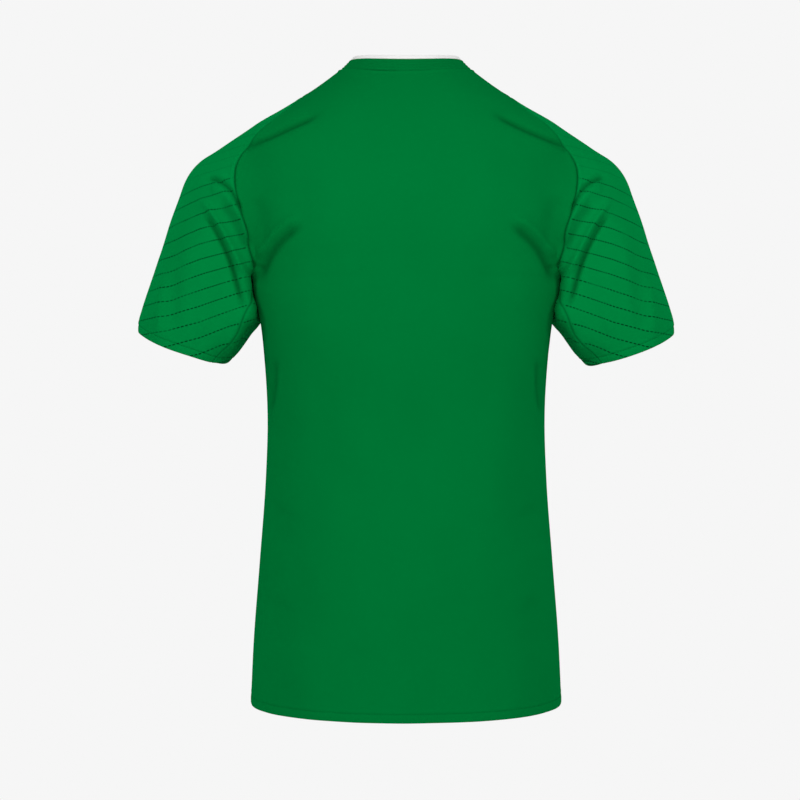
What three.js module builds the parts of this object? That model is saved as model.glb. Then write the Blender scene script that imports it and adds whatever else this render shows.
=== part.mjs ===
import * as THREE from 'three';

// A short-sleeved football jersey, filled out as if worn, with no one in it.
// Millimetres, +Z up. The front faces -Y and the wearer's left is +X.
// The origin is half way from front to back, level with the neck ends of the shoulder seams.
// Heights are given as a drop below the origin.

// Cloth
const CLOTH = 1.2;
const TURN_UP = 13;
const TURN_UP_WALL = 2.2;
const TURN_UP_STEP = 1.2;
const SEAM_GAP = 0.3;

// Places where the seams meet
const NECK_SIDE = { x: 77, y: -6, drop: 0 };
const NECK_BACK_DROP = 8;
const NECK_FRONT_DROP = 85;
const UNDERARM_DROP = 243;
const HEM_SIDE_DROP = 729.5;
const HEM_BACK_DROP = 739.5;
const HEM_FRONT_DROP = 736.5;
const CUFF_SAG = 7.5;
const RIGHT_CUFF_LOWER = 3.5;
// Above these drops at the side, rows run up towards the neck line; below them they are level.
const LEVEL_BELOW = { back: 112, front: 170 };
const HEM_SAG_REACH = 160;

// Collar
const COLLAR_WIDTH = 18.5;
const COLLAR_WALL = 2.2;
const COLLAR_LEAN = THREE.MathUtils.degToRad(3);
const COLLAR_CURL = 1.2;
const EDGE_HEIGHT = 4;
const EDGE_WALL = 1.6;

// Level sections of the body: half the width, and the depth behind and before the side seams.
// The power squares a section off: 2 is an ellipse.
const TORSO = table(['drop', 'half', 'back', 'front', 'power'], [
  [-20, 52, 33, 26, 2.1],
  [0, 77, 50.5, 43, 2.1],
  [22, 106.5, 66, 56, 2.15],
  [43, 139.5, 78, 68, 2.2],
  [64, 175, 87.5, 79, 2.3],
  [85, 199, 95, 89, 2.4],
  [120, 198, 107, 104, 2.5],
  [160, 198, 117, 115, 2.6],
  [200, 194, 121, 121, 2.6],
  [225, 184, 120, 122, 2.7],
  [243, 177, 119, 122, 3],
  [262, 173.8, 118, 121, 3.2],
  [289, 168.6, 116.5, 120, 3.1],
  [335, 163.6, 113, 117, 2.8],
  [400, 160.2, 108.5, 113, 2.55],
  [474, 162.3, 109.5, 111, 2.4],
  [567, 169.1, 115.5, 112.5, 2.35],
  [660, 176.2, 122, 115.5, 2.35],
  [735, 179.7, 126, 118, 2.35],
]);

// Sections across the arm, square to its axis: where the middle lies out from the axis,
// half the height, half the depth, and a power that squares off the side against the body.
const ARM = table(['along', 'middle', 'half', 'depth', 'inner'], [
  [0, 0, 74.3, 71, 2.15],
  [40, 8.8, 66.6, 74, 3.2],
  [73, 19.2, 55.6, 75, 6],
  [84, 16.8, 58.2, 75.5, 6.6],
  [94, 14.3, 60.8, 76, 6.8],
  [104, 11.5, 63.7, 76, 7],
  [115, 9.3, 66.1, 76, 7],
  [124, 10.5, 65, 75.6, 6.4],
  [131, 12, 63.6, 75, 5.8],
  [146, 14.1, 61.4, 73, 4.8],
  [160, 15.9, 58.9, 70, 4],
  [172, 17, 54.3, 67, 3.2],
  [200, 20, 48, 63, 2.5],
]);
const ARM_POWER = 2.15;
const SHOULDER = { x: 189, drop: 162, cap: 70 };
const ARM_TILT = THREE.MathUtils.degToRad(18);

// How softly the arm runs into the body: rounded over the shoulder, creased under the arm.
const BLEND = { soft: 28, sharp: 3, softAbove: 150, sharpBelow: 212 };
// Below the underarm the sleeve and the body part, and a little above it their seamed edges
// already face their own ways.
const PARTING = { from: 237, to: 258, apart: 60 };
const EDGE_PARTING = { from: 170, to: 225, apart: 60 };

// The armhole seam on the back, from the shoulder to the underarm.
const ARMHOLE = table(['x', 'y', 'drop'], [
  [118, -4, 28.5],
  [121, 19, 33.5],
  [130, 36, 44.5],
  [146, 45, 57],
  [161, 49, 69],
  [174, 54, 84],
  [186, 57, 98],
  [192.5, 60, 108.5],
  [193.8, 63, 127],
  [190.5, 64, 149],
  [184.3, 64, 171],
  [179.7, 70, 192],
  [176.3, 70, 213],
  [173.6, 62, 227],
  [175.4, 44, 238],
  [176.8, 22, 241],
  [177, 0, 243],
]);
const FRONT_SCOOP = 6;

// Hoops round the sleeve, from the armhole to the cuff: their outer end, their inner end
// and half their depth.
const HOOPS = table(['share', 'outX', 'outDrop', 'inX', 'inDrop', 'depth'], [
  [0, 117, 30, 177, 243, 66],
  [0.17, 176, 63, 177.2, 248, 67],
  [0.33, 226, 98, 176.2, 256, 69],
  [0.5, 260, 138, 173.5, 271, 73],
  [0.67, 283, 205, 171.5, 289.5, 76],
  [0.83, 296.5, 250, 184.5, 309.5, 73],
  [1, 311, 303, 206.5, 338, 67],
]);

// Folds, each a soft trough or ridge along a bent line seen from behind or before,
// the same on both sides of the body.
const FOLD_COLUMNS = ['x0', 'drop0', 'x1', 'drop1', 'x2', 'drop2', 'width', 'height'];
const BACK_FOLDS = table(FOLD_COLUMNS, [
  [174, 222, 145, 200, 126, 172, 8, 2.2],
  [128, 184, 158, 205, 163, 262, 9, -4],
  [196, 158, 166, 172, 140, 176, 15, -2.2],
  [184, 92, 140, 84, 100, 50, 7, -2.4],
  [143, 350, 150, 382, 157, 412, 7, 1.6],
  [151, 345, 158, 380, 163, 412, 7, -2.2],
  [136, 500, 152, 522, 144, 556, 16, -2.2],
  [134, 604, 154, 636, 143, 664, 16, -2.2],
  [232, 128, 212, 126, 190, 153, 7, -4],
  [236, 154, 208, 192, 172, 240, 8, 2.8],
  [234, 168, 206, 200, 180, 256, 8, -4.6],
  [210, 160, 188, 184, 179, 212, 7, -2.6],
  [281, 240, 286, 270, 285, 306, 7, 1.6],
  [270, 246, 274, 276, 270, 304, 9, -1.6],
]);
const FRONT_FOLDS = table(FOLD_COLUMNS, [
  [172, 226, 148, 206, 120, 190, 9, 2.2],
  [124, 200, 152, 214, 160, 268, 9, -3.4],
  [180, 100, 146, 88, 112, 66, 8, -2],
  [146, 356, 152, 384, 158, 420, 8, -2],
  [138, 470, 152, 500, 146, 540, 15, -2],
  [128, 610, 150, 640, 140, 676, 17, -2.4],
  [229, 132, 208, 132, 188, 160, 8, -3.2],
  [230, 160, 204, 196, 176, 236, 9, 2.4],
  [228, 176, 204, 206, 184, 258, 9, -4],
  [276, 236, 282, 262, 280, 300, 8, 1.6],
]);
const FOLD_STEPS = 10;
const FOLD_FADE = 0.3;
// The folds of the back and of the front fade out before they meet at the side.
const SIDE_FADE = { from: 4, to: 26 };

// How finely each piece is divided
const ROWS = { body: 18, armhole: 15, shoulder: 4 };
const COLUMNS = 24;
const HOOP_STEPS = 12;
const TRACE_STEPS = 8;

// How a point is drawn onto the form
const APPROACHES = 12;
const PROBE = 0.5;
const LEAST_SLOPE = 0.05;
const TINY = 1e-6;

const UP = new THREE.Vector3(0, 0, 1);

function table(columns, rows) {
  return rows.map((row) => Object.fromEntries(columns.map((name, i) => [name, row[i]])));
}

// A smooth curve through the rows of a table, whose first column says where each row lies.
function curveThrough(rows, flatStart = false) {
  const [key, ...names] = Object.keys(rows[0]);
  const at = rows.map((row) => row[key]);
  const last = rows.length - 1;
  const secant = (name, i) => (rows[i + 1][name] - rows[i][name]) / (at[i + 1] - at[i]);
  const slopeAt = (name, i) => {
    if (i === 0) return flatStart ? 0 : secant(name, 0);
    if (i === last) return secant(name, last - 1);
    const before = at[i] - at[i - 1];
    const after = at[i + 1] - at[i];
    return (after * secant(name, i - 1) + before * secant(name, i)) / (before + after);
  };
  const slopes = rows.map((row, i) => Object.fromEntries(names.map((name) => [name, slopeAt(name, i)])));
  return (where) => {
    const place = THREE.MathUtils.clamp(where, at[0], at[last]);
    let i = 0;
    while (i < last - 1 && at[i + 1] < place) i += 1;
    const span = at[i + 1] - at[i];
    const t = (place - at[i]) / span;
    const result = {};
    for (const name of names) {
      const rise = rows[i + 1][name] - rows[i][name];
      const bend = (1 - t) * (slopes[i][name] * span - rise) + t * (rise - slopes[i + 1][name] * span);
      result[name] = rows[i][name] + rise * t + t * (1 - t) * bend;
    }
    return result;
  };
}

const torsoAt = curveThrough(TORSO);
const armAt = curveThrough(ARM, true);
const hoopAt = curveThrough(HOOPS);

// How far a point lies outside the body's level section.
function torsoField(p) {
  const section = torsoAt(-p.z);
  const depth = p.y > 0 ? section.back : section.front;
  const across = (Math.abs(p.x) / section.half) ** section.power;
  const through = (Math.abs(p.y) / depth) ** section.power;
  const reach = Math.max((across + through) ** (1 / section.power), TINY);
  return Math.hypot(p.x, p.y) * (1 - 1 / reach);
}

// How far a point lies outside the arm, which ends in a round cap at the shoulder.
function armField(p) {
  const dx = Math.abs(p.x) - SHOULDER.x;
  const dz = p.z + SHOULDER.drop;
  const along = dx * Math.sin(ARM_TILT) - dz * Math.cos(ARM_TILT);
  const out = dx * Math.cos(ARM_TILT) + dz * Math.sin(ARM_TILT);
  const section = armAt(along);
  const cap = Math.min(along, 0);
  const v = out - section.middle;
  const power = v < 0 ? section.inner : ARM_POWER;
  const total = (Math.abs(v) / section.half) ** power + (Math.abs(p.y) / section.depth) ** power
    + (Math.abs(cap) / SHOULDER.cap) ** power;
  const reach = total ** (1 / power);
  return Math.hypot(v, p.y, cap) * (1 - 1 / Math.max(reach, TINY));
}

function softMin(a, b, softness) {
  const h = THREE.MathUtils.clamp(0.5 + (b - a) / (2 * softness), 0, 1);
  return b + (a - b) * h - softness * h * (1 - h);
}

// Which surface a point belongs to matters only below the underarm, where the two part.
function field(p, side, parting = PARTING) {
  const drop = -p.z;
  const sharp = THREE.MathUtils.smoothstep(drop, BLEND.softAbove, BLEND.sharpBelow);
  const softness = THREE.MathUtils.lerp(BLEND.soft, BLEND.sharp, sharp);
  const apart = parting.apart * THREE.MathUtils.smoothstep(drop, parting.from, parting.to);
  const torso = torsoField(p) + (side === 'sleeve' ? apart : 0);
  const arm = armField(p) + (side === 'body' ? apart : 0);
  return softMin(torso, arm, softness);
}

function gradient(p, side, parting) {
  const slope = (axis) => {
    const ahead = p.clone();
    const behind = p.clone();
    ahead[axis] += PROBE;
    behind[axis] -= PROBE;
    return (field(ahead, side, parting) - field(behind, side, parting)) / (2 * PROBE);
  };
  return new THREE.Vector3(slope('x'), slope('y'), slope('z'));
}

// The nearest place on the form, before it is folded.
function ontoForm(guess, side) {
  const p = guess.clone();
  for (let i = 0; i < APPROACHES; i += 1) {
    const g = gradient(p, side);
    p.addScaledVector(g, -field(p, side) / Math.max(g.lengthSq(), LEAST_SLOPE));
  }
  return p;
}

function foldPath(fold) {
  const line = new THREE.QuadraticBezierCurve(
    new THREE.Vector2(fold.x0, -fold.drop0),
    new THREE.Vector2(fold.x1, -fold.drop1),
    new THREE.Vector2(fold.x2, -fold.drop2),
  );
  return { ...fold, points: line.getPoints(FOLD_STEPS) };
}

const foldPaths = { back: BACK_FOLDS.map(foldPath), front: FRONT_FOLDS.map(foldPath) };

// How far the folds push the cloth out at a place, fading away at their ends and at the sides.
function foldHeight(p) {
  const place = new THREE.Vector2(Math.abs(p.x), p.z);
  let height = 0;
  for (const fold of foldPaths[p.y > 0 ? 'back' : 'front']) {
    let nearest = Infinity;
    let share = 0;
    for (let i = 0; i < FOLD_STEPS; i += 1) {
      const run = fold.points[i + 1].clone().sub(fold.points[i]);
      const off = place.clone().sub(fold.points[i]);
      const t = THREE.MathUtils.clamp(off.dot(run) / run.lengthSq(), 0, 1);
      const distance = off.addScaledVector(run, -t).length();
      if (distance < nearest) {
        nearest = distance;
        share = (i + t) / FOLD_STEPS;
      }
    }
    const end = THREE.MathUtils.smoothstep(Math.min(share, 1 - share), 0, FOLD_FADE);
    height += fold.height * end * Math.exp(-((nearest / fold.width) ** 2));
  }
  return height * THREE.MathUtils.smoothstep(Math.abs(p.y), SIDE_FADE.from, SIDE_FADE.to);
}

// A place on the folded cloth, with the direction that faces out of it.
function onCloth(guess, side) {
  const form = ontoForm(guess, side);
  const normal = gradient(form, side).normalize();
  return { point: form.clone().addScaledVector(normal, foldHeight(form)), normal, form };
}

// Places at even distances along a line of points that is pulled onto the form.
function evenly(points, count, side) {
  const key = [0];
  for (let i = 1; i < points.length; i += 1) key.push(key[i - 1] + points[i].distanceTo(points[i - 1]));
  const line = curveThrough(points.map((p, i) => ({ key: key[i], x: p.x, y: p.y, z: p.z })));
  const traced = [];
  for (let i = 0; i <= count * TRACE_STEPS; i += 1) {
    const { x, y, z } = line((key[key.length - 1] * i) / (count * TRACE_STEPS));
    traced.push(ontoForm(new THREE.Vector3(x, y, z), side));
  }
  const run = [0];
  for (let i = 1; i < traced.length; i += 1) run.push(run[i - 1] + traced[i].distanceTo(traced[i - 1]));
  const even = [];
  let i = 0;
  for (let n = 0; n <= count; n += 1) {
    const goal = (run[run.length - 1] * n) / count;
    while (i < traced.length - 2 && run[i + 1] < goal) i += 1;
    even.push(traced[i].clone().lerp(traced[i + 1], (goal - run[i]) / (run[i + 1] - run[i])));
  }
  return even;
}

// The armhole seam, from the underarm up to the shoulder, on the back or the front.
function armholeSeam(behind) {
  const points = ARMHOLE.map((row, i) => {
    const scoop = behind ? 0 : FRONT_SCOOP * Math.sin((Math.PI * i) / (ARMHOLE.length - 1));
    const y = behind || i === 0 ? row.y : -row.y;
    return new THREE.Vector3(row.x - scoop, y, -row.drop);
  });
  return evenly(points.reverse(), ROWS.armhole, 'body');
}

const seams = { back: armholeSeam(true), front: armholeSeam(false) };
seams.front[0].copy(seams.back[0]);
seams.front[ROWS.armhole].copy(seams.back[ROWS.armhole]);
const shoulderSeam = evenly(
  [seams.back[ROWS.armhole], new THREE.Vector3(NECK_SIDE.x, NECK_SIDE.y, -NECK_SIDE.drop)],
  ROWS.shoulder,
  'body',
);

// The edge of a body panel from the hem up: the side seam, the armhole and the shoulder seam.
// The first rows are the turned-up hem.
function panelEdge(behind) {
  const hem = [0, TURN_UP, TURN_UP + TURN_UP_STEP];
  const side = hem.map((rise) => rise - HEM_SIDE_DROP);
  const rest = HEM_SIDE_DROP - TURN_UP - TURN_UP_STEP - UNDERARM_DROP;
  for (let i = 1; i < ROWS.body; i += 1) side.push(side[2] + (rest * i) / ROWS.body);
  const seam = behind ? seams.back : seams.front;
  return [
    ...side.map((z) => new THREE.Vector3(torsoAt(-z).half, 0, z)),
    ...seam,
    ...shoulderSeam.slice(1),
  ];
}

// The drop on the centre line of the row that meets the edge at a given drop.
function centreDrop(drop, behind) {
  const neck = behind ? NECK_BACK_DROP : NECK_FRONT_DROP;
  const hem = behind ? HEM_BACK_DROP : HEM_FRONT_DROP;
  const level = behind ? LEVEL_BELOW.back : LEVEL_BELOW.front;
  if (drop < level) return neck + (drop * (level - neck)) / level;
  const sag = THREE.MathUtils.smoothstep(drop, HEM_SIDE_DROP - HEM_SAG_REACH, HEM_SIDE_DROP);
  return drop + (hem - HEM_SIDE_DROP) * sag;
}

function bodyPanel(behind) {
  const facing = behind ? 1 : -1;
  const grid = panelEdge(behind).map((edge) => {
    const drop = centreDrop(-edge.z, behind);
    const section = torsoAt(drop);
    const depth = behind ? section.back : section.front;
    const row = [];
    for (let i = 0; i <= COLUMNS; i += 1) {
      const angle = Math.PI * (i / COLUMNS - 0.5);
      const across = Math.sin(angle);
      const through = Math.cos(angle);
      const guess = new THREE.Vector3(
        edge.x * across,
        facing * depth * through + edge.y * (1 - through),
        -drop + (edge.z + drop) * (1 - through),
      );
      const seam = i === 0 || i === COLUMNS;
      row.push(seam ? seamPlace(edge, Math.sign(across), 'body') : onCloth(guess, 'body'));
    }
    return row;
  });
  grid.forEach((row, i) => row.forEach((place) => {
    place.wall = i < 2 ? TURN_UP_WALL : CLOTH;
  }));
  return grid;
}

// A place on a seam is the same for both pieces, though each piece's wall faces its own way.
function seamPlace(edge, mirror, side) {
  const form = new THREE.Vector3(edge.x * mirror, edge.y, edge.z);
  const shared = gradient(form, 'body').normalize();
  const normal = gradient(form, side, EDGE_PARTING).normalize();
  return { point: form.clone().addScaledVector(shared, foldHeight(form)), normal, form };
}

function sleeve(mirror) {
  const loop = [
    ...seams.back.slice().reverse(),
    ...seams.front.slice(1, ROWS.armhole),
  ];
  const count = loop.length;
  const hoop = (share, angle) => {
    const { outX, outDrop, inX, inDrop, depth } = hoopAt(share);
    const along = (1 + Math.cos(angle)) / 2;
    const lower = mirror < 0 ? RIGHT_CUFF_LOWER * (1 - along / 2) : 0;
    const sag = (CUFF_SAG * Math.sin(angle) ** 2 + lower) * share ** 3;
    return new THREE.Vector3(
      THREE.MathUtils.lerp(inX, outX, along),
      depth * Math.sin(angle),
      -THREE.MathUtils.lerp(inDrop, outDrop, along) - sag,
    );
  };
  // The share that the turned-up cuff takes, at the pace the hoops keep near the cuff.
  const lastStretch = 0.1;
  const pace = hoop(1, Math.PI / 2).distanceTo(hoop(1 - lastStretch, Math.PI / 2)) / lastStretch;
  const cuffStart = 1 - (TURN_UP + TURN_UP_STEP) / pace;
  const shares = [];
  for (let i = 0; i <= HOOP_STEPS; i += 1) shares.push((cuffStart * i) / HOOP_STEPS);
  shares.push(1 - TURN_UP / pace, 1);
  return shares.map((share, row) => loop.map((seam, i) => {
    const angle = (2 * Math.PI * i) / count;
    const pull = (1 - share) ** 2;
    const guess = hoop(share, angle).addScaledVector(seam.clone().sub(hoop(0, angle)), pull);
    guess.x *= mirror;
    const place = row === 0 ? seamPlace(seam, mirror, 'sleeve') : onCloth(guess, 'sleeve');
    place.wall = row > HOOP_STEPS ? TURN_UP_WALL : CLOTH;
    return place;
  }));
}

// Draws a seam's row of places back by half the gap, along the cloth and square to the seam.
function drawBack(grid, row, inner, round) {
  const last = grid[row].length - 1;
  const moves = grid[row].map((place, i) => {
    const before = grid[row][i > 0 ? i - 1 : (round ? last : 0)].point;
    const after = grid[row][i < last ? i + 1 : (round ? 0 : last)].point;
    const run = after.clone().sub(before).normalize();
    const move = grid[inner][i].point.clone().sub(place.point);
    move.addScaledVector(run, -move.dot(run));
    return move.setLength(SEAM_GAP / 2);
  });
  grid[row].forEach((place, i) => place.point.add(moves[i]));
}

function drawPanelBack(grid) {
  const columns = grid[0].map((_, i) => grid.map((row) => row[i]));
  const last = columns.length - 1;
  const top = grid.length - 1;
  drawBack(columns, 0, 1, false);
  drawBack(columns, last, last - 1, false);
  drawBack(grid, top, top - 1, false);
}

function enclosedVolume(points, faces) {
  return faces.reduce((sum, [a, b, c]) => {
    return sum + points[a].dot(points[b].clone().cross(points[c])) / 6;
  }, 0);
}

// A closed mesh from two matching grids of points, the cloth's two faces, and the rim between.
function wallMesh(name, outer, inner, round, material) {
  const rows = outer.length;
  const width = outer[0].length;
  const points = [...outer.flat(), ...inner.flat()];
  const faces = [];
  const quad = (a, b, c, d) => faces.push([a, b, c], [a, c, d]);
  const outerAt = (row, i) => row * width + (i % width);
  const innerAt = (row, i) => rows * width + outerAt(row, i);
  const spans = round ? width : width - 1;
  for (let row = 0; row + 1 < rows; row += 1) {
    for (let i = 0; i < spans; i += 1) {
      quad(outerAt(row, i), outerAt(row, i + 1), outerAt(row + 1, i + 1), outerAt(row + 1, i));
      quad(innerAt(row, i), innerAt(row + 1, i), innerAt(row + 1, i + 1), innerAt(row, i + 1));
    }
    if (!round) {
      quad(outerAt(row, 0), outerAt(row + 1, 0), innerAt(row + 1, 0), innerAt(row, 0));
      quad(outerAt(row, spans), innerAt(row, spans), innerAt(row + 1, spans), outerAt(row + 1, spans));
    }
  }
  for (let i = 0; i < spans; i += 1) {
    quad(outerAt(0, i), innerAt(0, i), innerAt(0, i + 1), outerAt(0, i + 1));
    quad(outerAt(rows - 1, i), outerAt(rows - 1, i + 1), innerAt(rows - 1, i + 1), innerAt(rows - 1, i));
  }
  const facingOut = enclosedVolume(points, faces) > 0;
  const geometry = new THREE.BufferGeometry();
  geometry.setAttribute('position', new THREE.Float32BufferAttribute(points.flatMap((p) => p.toArray()), 3));
  geometry.setIndex(faces.flatMap(([a, b, c]) => (facingOut ? [a, b, c] : [a, c, b])));
  geometry.computeVertexNormals();
  const mesh = new THREE.Mesh(geometry, material);
  mesh.name = name;
  return mesh;
}

function clothMesh(name, grid, round, material) {
  const inside = (place) => place.point.clone().addScaledVector(place.normal, -place.wall);
  const outer = grid.map((row) => row.map((place) => place.point));
  const inner = grid.map((row) => row.map(inside));
  return wallMesh(name, outer, inner, round, material);
}

// The stations round the neck seam, each with its outward direction and its way up the collar.
function neckStations(back, front) {
  const top = back.length - 1;
  const loop = [...back[top].slice(0, COLUMNS), ...front[top].slice(1).reverse()];
  return loop.map((place, i) => {
    const before = loop[(i + loop.length - 1) % loop.length].form;
    const after = loop[(i + 1) % loop.length].form;
    const run = after.clone().sub(before).normalize();
    const rise = run.clone().cross(place.normal).normalize();
    if (rise.dot(UP) < 0) rise.negate();
    const out = run.clone().cross(rise).normalize();
    if (out.dot(place.normal) < 0) out.negate();
    rise.multiplyScalar(Math.cos(COLLAR_LEAN)).addScaledVector(out, Math.sin(COLLAR_LEAN)).normalize();
    return { point: place.form, rise, out };
  });
}

// A place on the collar, so far up it and so deep into it.
function onCollar(station, height, depth) {
  const curl = COLLAR_CURL * (height / COLLAR_WIDTH) ** 2;
  const face = station.point.clone().addScaledVector(station.rise, height);
  return face.addScaledVector(station.out, curl - depth);
}

function band(name, stations, heights, nearFace, farFace, material) {
  const outer = heights.map((height) => stations.map((station) => onCollar(station, height, nearFace)));
  const inner = heights.map((height) => stations.map((station) => onCollar(station, height, farFace)));
  return wallMesh(name, outer, inner, true, material);
}

const jerseyGreen = new THREE.MeshStandardMaterial({ color: 0x007a38, roughness: 0.75, metalness: 0 });
const sleeveGreen = new THREE.MeshStandardMaterial({ color: 0x008440, roughness: 0.75, metalness: 0 });
const ribGreen = new THREE.MeshStandardMaterial({ color: 0x006c32, roughness: 0.85, metalness: 0 });
const edgeWhite = new THREE.MeshStandardMaterial({ color: 0xf2f2f0, roughness: 0.8, metalness: 0 });

const backPanel = bodyPanel(true);
const frontPanel = bodyPanel(false);
const neck = neckStations(backPanel, frontPanel);
drawPanelBack(backPanel);
drawPanelBack(frontPanel);
const sleeves = { sleeve_left: sleeve(1), sleeve_right: sleeve(-1) };
Object.values(sleeves).forEach((grid) => drawBack(grid, 0, 1, true));

const collarHeights = [0, 1 / 3, 2 / 3, 1].map((share) => SEAM_GAP / 2 + share * COLLAR_WIDTH);
const edgeStart = SEAM_GAP * 1.5 + COLLAR_WIDTH;
const edgeHeights = [0, 0.5, 1].map((share) => edgeStart + share * EDGE_HEIGHT);
const edgeFace = (COLLAR_WALL - EDGE_WALL) / 2;

const jersey = new THREE.Group();
jersey.add(
  clothMesh('back_panel', backPanel, false, jerseyGreen),
  clothMesh('front_panel', frontPanel, false, jerseyGreen),
  clothMesh('sleeve_left', sleeves.sleeve_left, true, sleeveGreen),
  clothMesh('sleeve_right', sleeves.sleeve_right, true, sleeveGreen),
  band('collar', neck, collarHeights, 0, COLLAR_WALL, ribGreen),
  band('collar_edge', neck, edgeHeights, edgeFace, edgeFace + EDGE_WALL, edgeWhite),
);

export default jersey;
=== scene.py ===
"""A green short-sleeved football jersey, filled out as if worn, seen from behind.

Lengths in the tables are millimetres, as a cutter would give them; meshes are in metres.
+Z is up, the front faces -Y and the wearer's left is +X. Heights are drops below the origin.
"""

import math
from functools import partial

import bpy
import numpy as np
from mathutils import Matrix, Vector
from mathutils.kdtree import KDTree


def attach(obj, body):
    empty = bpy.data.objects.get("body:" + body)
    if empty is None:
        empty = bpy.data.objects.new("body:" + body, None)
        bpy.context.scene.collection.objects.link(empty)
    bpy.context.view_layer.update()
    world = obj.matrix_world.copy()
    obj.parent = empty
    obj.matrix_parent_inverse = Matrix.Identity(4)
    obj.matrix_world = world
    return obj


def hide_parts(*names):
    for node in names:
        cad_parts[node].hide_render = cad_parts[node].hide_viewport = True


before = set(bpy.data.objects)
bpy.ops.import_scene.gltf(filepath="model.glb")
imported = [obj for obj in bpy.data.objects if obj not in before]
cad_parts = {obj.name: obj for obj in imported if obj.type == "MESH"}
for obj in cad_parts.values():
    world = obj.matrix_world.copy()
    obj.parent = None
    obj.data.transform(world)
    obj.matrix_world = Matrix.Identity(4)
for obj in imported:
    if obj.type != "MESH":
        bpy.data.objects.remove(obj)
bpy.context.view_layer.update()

MM = 0.001

# Cloth: its wall, and where it thins past a turned-up hem and past a seam's allowance, which
# is narrower at the underarm
CLOTH = 0.9
TURN_UP_WALL = 1.8
TURN_UP_ENDS = (12.5, 13.5)
ALLOWANCE_WALL = 2.1
ALLOWANCE_ENDS = (5.4, 6.4)
UNDERARM_NARROWER = 1.0
EDGE_ROUND = 0.5
EDGE_ROUND_WIDTH = 0.6
HEM_STITCH = 9.7
CUFF_STITCH = 9.0
SEAM_HALF_GAP = 0.04

# Seams: how far the armhole's rolls in and how far the others do, how far from the top of the
# shoulder it grows deep, and the drops between which the edge of a panel is the armhole's
ARMHOLE_SEAM = 1.5
SHALLOW_SEAM = 0.25
SHOULDER_TOP = (3.0, 14.0)
ARMHOLE_STARTS = (28.0, 34.0)
ARMHOLE_ENDS = (236.0, 250.0)
SEAM_ROLL_WIDTH = 1.1
SEAM_LIP = 0.3
SEAM_LIP_RISES = (1.0, 2.4)
SEAM_LIP_FALLS = (4.6, 7.4)
# Soft lines along an edge: how high each stands, how far in from the edge, and how wide
NECK_LINES = ((-0.1, 0.0, 0.7), (0.8, 1.7, 1.0))
UNDERARM_LINES = ((-0.7, 0.0, 0.9), (0.35, 2.2, 1.4))
STITCHED_LINES = ((-0.5, 0.0, 0.75), (0.3, 2.4, 1.5))
FOLDED_EDGE = (-0.45, 0.0, 0.7)
TURN_UP_SWELL = 0.35
# What counts as a deep fold and as a narrow one where shade is painted into folds, and how wide the
# painted shade along seams is
DEEP_FOLD = 4.5
NARROW_FOLD = 6.5
SEAM_SHADE_WIDTH = 1.2

# Places where the seams meet
NECK_SIDE = (77.0, -6.0, 0.0)
NECK_BACK_DROP = 7.0
NECK_FRONT_DROP = 85.0
UNDERARM_DROP = 243.0
HEM_SIDE_DROP = 729.5
HEM_BACK_DROP = 739.5
HEM_FRONT_DROP = 736.5
CUFF_SAG = 7.5
RIGHT_CUFF_LOWER = 3.5
LEVEL_BELOW = {"back": 112.0, "front": 170.0}
HEM_SAG_REACH = 160.0

# Collar
COLLAR_WIDTH = 17.0
COLLAR_WALL = 2.2
COLLAR_LEAN = math.radians(3)
COLLAR_CURL = 1.2
COLLAR_GAP = 0.1
COLLAR_INSET = 0.15
COLLAR_ROUNDS = ((0.3, COLLAR_GAP, 0.6), (0.5, COLLAR_WIDTH, 0.6))
RIBS = 4.5
RIB_DEPTH = 0.28
# The collar's allowance, turned down inside the body: how high, and how far inside the wall
COLLAR_ALLOWANCE = ((-4.2, 0.15), (-4.5, 0.5), (-4.2, 0.85), (1.6, 0.85))
# How many places it has round the neck, and how much each way counts in telling its outer side
NECK_COLUMNS = 320
MOSTLY_LEVEL = (1, 1, 0.2)
# The white edge, with its rows up from the collar and how thick it is at each
EDGE_HEIGHT = 4.7
EDGE_WALL = 1.6
EDGE_ROWS = np.array([0, 0.1, 0.3, 0.5, 0.7, 0.85, 0.95, 1.0])
EDGE_THICKNESS = np.array([0.8, 1, 1, 1, 1, 0.85, 0.6, 0.25])

# Level sections of the body: drop, half the width, depth behind, depth before, and a power
# that squares the section off.
TORSO = np.array([
    (-20, 52, 33, 26, 2.1),
    (0, 77, 50.5, 43, 2.1),
    (22, 106.5, 66, 56, 2.15),
    (43, 139.5, 78, 68, 2.2),
    (64, 175, 87.5, 79, 2.3),
    (85, 199, 95, 89, 2.4),
    (120, 198, 107, 104, 2.5),
    (160, 198, 117, 115, 2.6),
    (200, 194, 121, 121, 2.6),
    (225, 184, 120, 122, 2.7),
    (243, 177, 119, 122, 3),
    (262, 173.8, 118, 121, 3.2),
    (289, 168.6, 116.5, 120, 3.1),
    (335, 163.6, 113, 117, 2.8),
    (400, 160.2, 108.5, 113, 2.55),
    (474, 162.3, 109.5, 111, 2.4),
    (567, 169.1, 115.5, 112.5, 2.35),
    (660, 176.2, 122, 115.5, 2.35),
    (735, 179.7, 126, 118, 2.35),
])

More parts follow.
